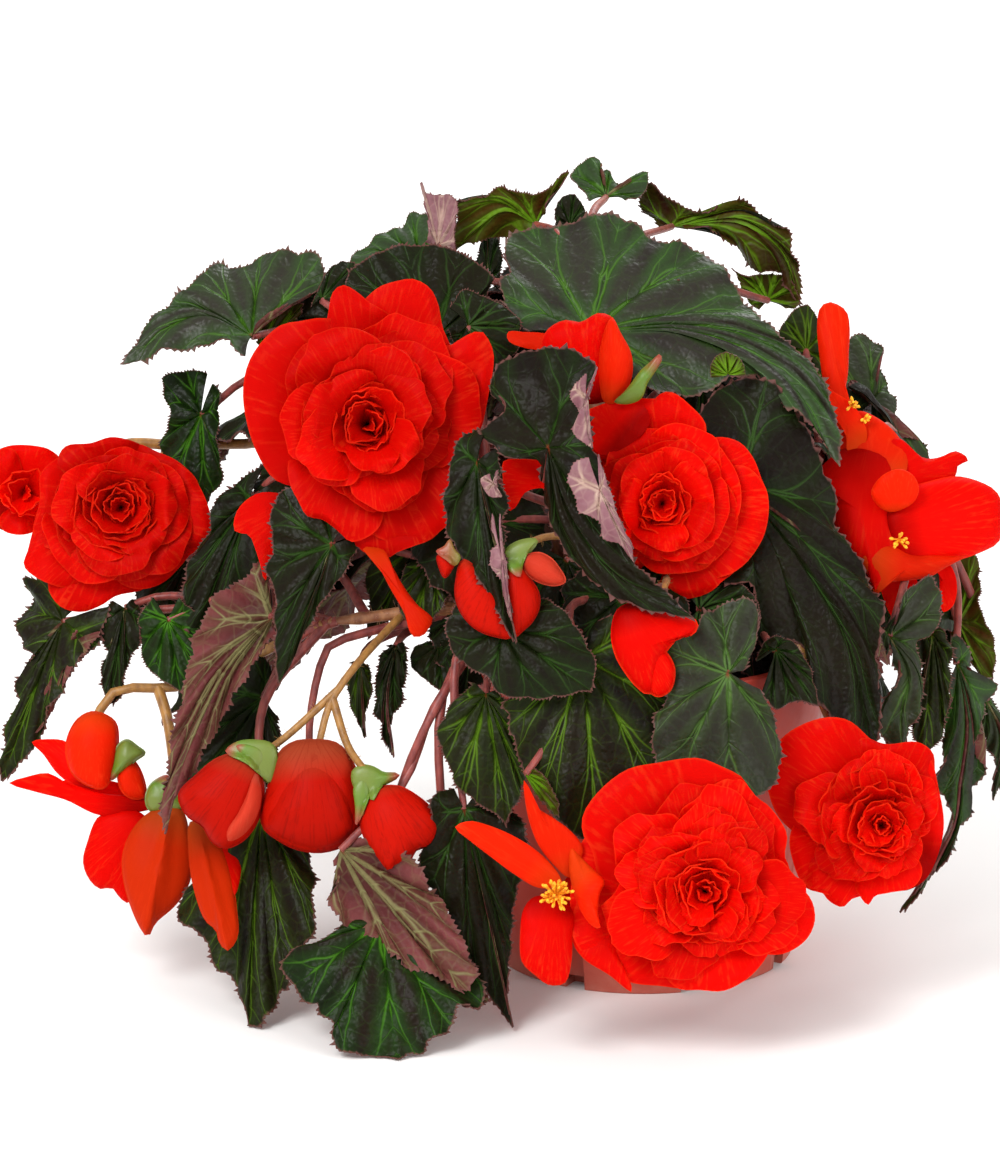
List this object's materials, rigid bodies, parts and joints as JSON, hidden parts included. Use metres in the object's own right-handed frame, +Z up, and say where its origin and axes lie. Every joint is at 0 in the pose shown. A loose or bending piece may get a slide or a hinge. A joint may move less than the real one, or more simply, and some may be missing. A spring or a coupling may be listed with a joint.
{
  "type": "potted begonia",
  "caption": "Tuberous begonia with dark toothed leaves and scarlet double flowers, arching over a brick-red plastic nursery pot that stands on its flat base.",
  "frame": {"origin": "centre of the pot's flat base, on the surface it stands on", "axes": "+Z up, -Y towards the viewer of the picture, +X to the viewer's right"},
  "size_m": [0.3319, 0.2462, 0.2466],
  "materials": {
    "pot_plastic": "satin",
    "soil": "matte",
    "tuber": "matte",
    "stem": "satin",
    "leaf": "satin",
    "petal": "matte",
    "bud": "matte"
  },
  "bodies": {
    "root": {"pot": "pot_plastic", "soil": "soil", "tuber": "tuber", "stem_left": "stem", "stem_upper_left": "stem", "stem_top": "stem", "stem_right": "stem", "stem_front": "stem", "stem_back": "stem", "bud_middle": "bud", "bud_left": "bud", "bud_right": "bud", "bud_centre": "bud", "bud_low": "bud", "flower_great": "petal", "flower_far_left": "petal", "flower_left_rear": "petal", "flower_centre": "petal", "flower_right": "petal", "flower_low": "petal", "flower_low_right": "petal", "flower_top": "petal", "flower_back": "petal", "flower_pendant_left": "petal", "flower_hanging": "petal", "flower_single": "petal", "leaf_upper_left": "leaf", "leaf_grey_back": "leaf", "leaf_skyline": "leaf", "leaf_behind_great_flower": "leaf", "leaf_top_twist": "leaf", "leaf_top_right": "leaf", "leaf_broad_top": "leaf", "leaf_centre_folded": "leaf", "leaf_pendant_right": "leaf", "leaf_lobed_front": "leaf", "leaf_heart_front": "leaf", "leaf_under_bud": "leaf", "leaf_front_left": "leaf", "leaf_long_pendant": "leaf", "leaf_purple_low": "leaf", "leaf_table": "leaf", "leaf_low_left": "leaf", "leaf_purple_left": "leaf", "leaf_below_great_flower": "leaf", "leaf_dark_left": "leaf", "leaf_dark_hub_left": "leaf", "leaf_far_left": "leaf", "leaf_left_middle": "leaf", "leaf_left_small": "leaf", "leaf_right_grey": "leaf", "leaf_right_falling": "leaf", "leaf_right_olive": "leaf", "leaf_right_upper": "leaf", "leaf_dark_beside_flower": "leaf", "leaf_back_left": "leaf", "leaf_back_middle": "leaf", "leaf_back_right": "leaf", "leaf_back_low": "leaf", "leaf_back_top": "leaf"}
  },
  "joints": []
}
